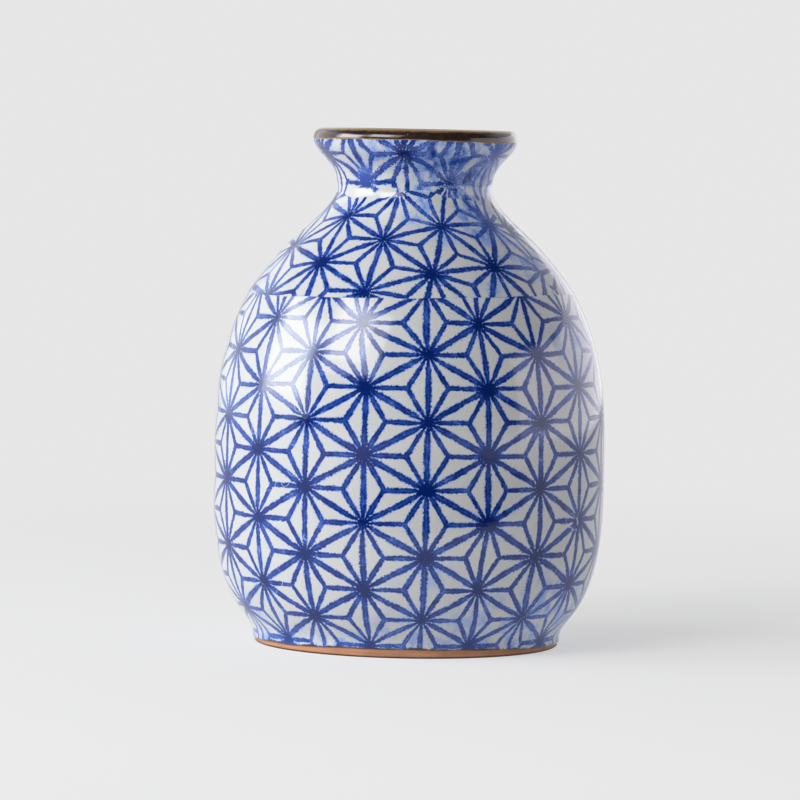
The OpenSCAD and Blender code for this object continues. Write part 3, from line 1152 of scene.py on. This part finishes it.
def softbox(name, glow, azimuth, elevation, width, height, distance, tint):
    """A rectangular area light that faces the belly, set out in degrees round from the camera and up.

    Its width and height are the degrees that it fills as the pot sees it, and glow is its brightness.
    """
    deselect_all()
    turn, rise = math.radians(azimuth), math.radians(elevation)
    way = Vector((math.cos(rise) * math.sin(turn), -math.cos(rise) * math.cos(turn), math.sin(rise)))
    bpy.ops.object.light_add(type="AREA", location=Vector((0, 0, LIGHT_AIM)) + way * distance)
    light = bpy.context.object
    light.name = name
    light.data.shape = "RECTANGLE"
    light.data.size = 2 * distance * math.tan(math.radians(width) / 2)
    light.data.size_y = 2 * distance * math.tan(math.radians(height) / 2)
    light.data.color = tint
    light.data.energy = glow * math.pi * light.data.size * light.data.size_y
    light.rotation_euler = (-way).to_track_quat("-Z", "Y").to_euler()
    light.visible_camera = False
    return light


class POTTERY_OT_studio(bpy.types.Operator):
    """Build the seamless floor, the softboxes and the camera"""
    bl_idname = "pottery.studio"
    bl_label = "Studio"

    def execute(self, context):
        studio = context.scene.studio
        self.build_floor(studio)
        self.hang_lights(studio)
        self.lay_dark_card()
        self.set_air(context, studio)
        self.set_camera(context, studio)
        self.set_film(context)
        return {"FINISHED"}

    def build_floor(self, studio):
        """A wide pale floor: round the pot it is half lit and half glowing, further out it only glows."""
        deselect_all()
        bpy.ops.mesh.primitive_plane_add(size=60.0, location=(0, 0, 0))
        floor = bpy.context.object
        floor.name = floor.data.name = "studio_floor"
        material, wires, shader = new_material("floor_paper")
        place = wires.add("ShaderNodeTexCoord").outputs["Object"]
        away = wires.add("ShaderNodeVectorMath", {0: place}, operation="LENGTH").outputs["Value"]
        far = wires.ramp(away, 0.16, 0.5)
        grain = wires.ramp(wires.noise(place, 900.0, 2.0), 0.3, 0.7)
        paper = wires.blend(grain, rgba(studio.floor), rgba([0.985 * part for part in studio.floor]))
        paper = wires.blend(far, paper, (0.0, 0.0, 0.0, 1.0))
        near_glow = rgba([studio.floor_glow] * 3)
        glow = wires.blend(far, near_glow, rgba(studio.backdrop))
        shader.inputs["Roughness"].default_value = 0.9
        shader.inputs["Specular IOR Level"].default_value = 0.0
        shader.inputs["Emission Strength"].default_value = 1.0
        plug(wires, shader, Base_Color=paper, Emission_Color=glow)
        floor.data.materials.append(material)

    def hang_lights(self, studio):
        """Softboxes at the sides, a hotter patch in the left one, and a light up and left of the camera."""
        left, front, right = studio.left_hot_glow, studio.front_glow, studio.right_glow
        softbox("left_softbox", studio.left_glow, -110, 14, 84, 40, 1.5, studio.left_tint)
        # Lights within one another, so that the edges of a reflected patch are soft
        softbox("left_hot_patch_edge", 0.3 * left, -82, 20, 42, 36, 1.46, studio.left_tint)
        softbox("left_hot_patch", 0.45 * left, -82, 20, 34, 31, 1.44, studio.left_tint)
        core = softbox("left_hot_patch_core", 0.7 * left, -82, 20, 27, 26, 1.42, studio.left_tint)
        core.visible_diffuse = False
        softbox("front_light_edge", 0.5 * front, -39, 32, 35, 30, 1.4, WHITE)
        softbox("front_light", 0.8 * front, -42, 34, 22, 23, 1.38, WHITE)
        softbox("right_softbox", right, 84, 6, 36, 32, 1.6, studio.right_tint)
        behind = softbox("right_rim_softbox", 0.68 * right, 134, 3, 64, 34, 1.6, studio.right_tint)
        behind.visible_diffuse = False

    def lay_dark_card(self):
        """A black card flat on the floor before the pot, seen only in the glaze."""
        deselect_all()
        bpy.ops.mesh.primitive_plane_add(size=1.0, location=CARD_PLACE)
        card = bpy.context.object
        card.name = card.data.name = "dark_card"
        card.scale = (*CARD_SIZE, 1.0)
        bpy.ops.object.transform_apply(location=False, rotation=False, scale=True)
        material, _, shader = new_material("black_card")
        shader.inputs["Base Color"].default_value = (0.004, 0.004, 0.004, 1.0)
        shader.inputs["Roughness"].default_value = 0.9
        shader.inputs["Specular IOR Level"].default_value = 0.0
        card.data.materials.append(material)
        card.visible_camera = False
        card.visible_diffuse = False
        card.visible_shadow = False

    def set_air(self, context, studio):
        """Pale backdrop all along the horizon but behind the camera, dim above."""
        world = bpy.data.worlds.new("studio_air")
        world.use_nodes = True
        wires = Wires(world.node_tree)
        way = wires.add("ShaderNodeTexCoord").outputs["Generated"]
        parts = wires.add("ShaderNodeSeparateXYZ", {0: way}).outputs
        seen = wires.add("ShaderNodeLightPath").outputs["Is Camera Ray"]
        back = wires.math("MAXIMUM", wires.ramp(parts["Y"], 0.0, 0.5), seen)
        low = wires.ramp(parts["Z"], 0.5, 0.8, 1.0, 0.0)
        colour = wires.blend(wires.times(back, low), rgba(studio.dim_air), rgba(studio.backdrop))
        background = world.node_tree.nodes["Background"]
        world.node_tree.links.new(colour, background.inputs["Color"])
        context.scene.world = world

    def set_camera(self, context, studio):
        """A long lens a little above the table, rolled slightly to its left."""
        deselect_all()
        place = Vector((studio.camera_aim[0], -studio.camera_distance, studio.camera_height))
        bpy.ops.object.camera_add(location=place)
        camera = bpy.context.object
        camera.name = "studio_camera"
        camera.data.lens = studio.lens
        camera.data.clip_start = 0.05
        camera.data.clip_end = 60.0
        look = (Vector(studio.camera_aim) - place).to_track_quat("-Z", "Y").to_matrix()
        camera.rotation_euler = (look @ Matrix.Rotation(studio.camera_roll, 3, "Z")).to_euler()
        context.scene.camera = camera

    def set_film(self, context):
        """Plain colours, with the brightest tones rolled off softly as film does."""
        view = context.scene.view_settings
        view.view_transform = "Standard"
        view.look = "None"
        view.use_curve_mapping = True
        curves = view.curve_mapping
        brightest = 2.0
        curves.white_level = (brightest, brightest, brightest)
        curve = curves.curves[3]
        curve.points[0].location = (0, 0)
        curve.points[1].location = (1, 1)
        for light, shown in ((0.2, 0.2), (0.5, 0.5), (0.7, 0.685), (0.9, 0.815), (1.15, 0.91), (1.5, 0.97)):
            curve.points.new(light / brightest, shown)
        curves.update()


# ---------------------------------------------------------------- panel and registration


OPERATORS = (
    POTTERY_OT_clay_body,
    POTTERY_OT_body_glaze,
    POTTERY_OT_shoulder_glaze,
    POTTERY_OT_neck_glaze,
    POTTERY_OT_rim_glaze,
    POTTERY_OT_inner_glaze,
    POTTERY_OT_base_glaze,
    POTTERY_OT_studio,
)


class POTTERY_PT_bench(bpy.types.Panel):
    """Buttons that build the bottle piece by piece"""
    bl_idname = "POTTERY_PT_bench"
    bl_label = "Sake Bottle"
    bl_space_type = "VIEW_3D"
    bl_region_type = "UI"
    bl_category = "Pottery"

    def draw(self, context):
        for operator in OPERATORS:
            self.layout.operator(operator.bl_idname)


SETTINGS = {"pot_shape": PotShape, "leaf_print": HempLeafPrint, "clay_and_glazes": ClayAndGlazes,
            "studio": Studio}


def register():
    """Makes the settings, operators and panel known to Blender."""
    for name, settings in SETTINGS.items():
        bpy.utils.register_class(settings)
        setattr(bpy.types.Scene, name, PointerProperty(type=settings))
    for operator in OPERATORS:
        bpy.utils.register_class(operator)
    bpy.utils.register_class(POTTERY_PT_bench)


def unregister():
    """Takes them all away again."""
    bpy.utils.unregister_class(POTTERY_PT_bench)
    for operator in reversed(OPERATORS):
        bpy.utils.unregister_class(operator)
    for name, settings in SETTINGS.items():
        delattr(bpy.types.Scene, name)
        bpy.utils.unregister_class(settings)


def main():
    """Builds every piece and the studio."""
    register()
    bpy.ops.pottery.studio()
    bpy.ops.pottery.clay_body()
    bpy.ops.pottery.body_glaze()
    bpy.ops.pottery.shoulder_glaze()
    bpy.ops.pottery.neck_glaze()
    bpy.ops.pottery.rim_glaze()
    bpy.ops.pottery.inner_glaze()
    bpy.ops.pottery.base_glaze()
    bpy.context.view_layer.update()


if __name__ == "__main__":
    main()
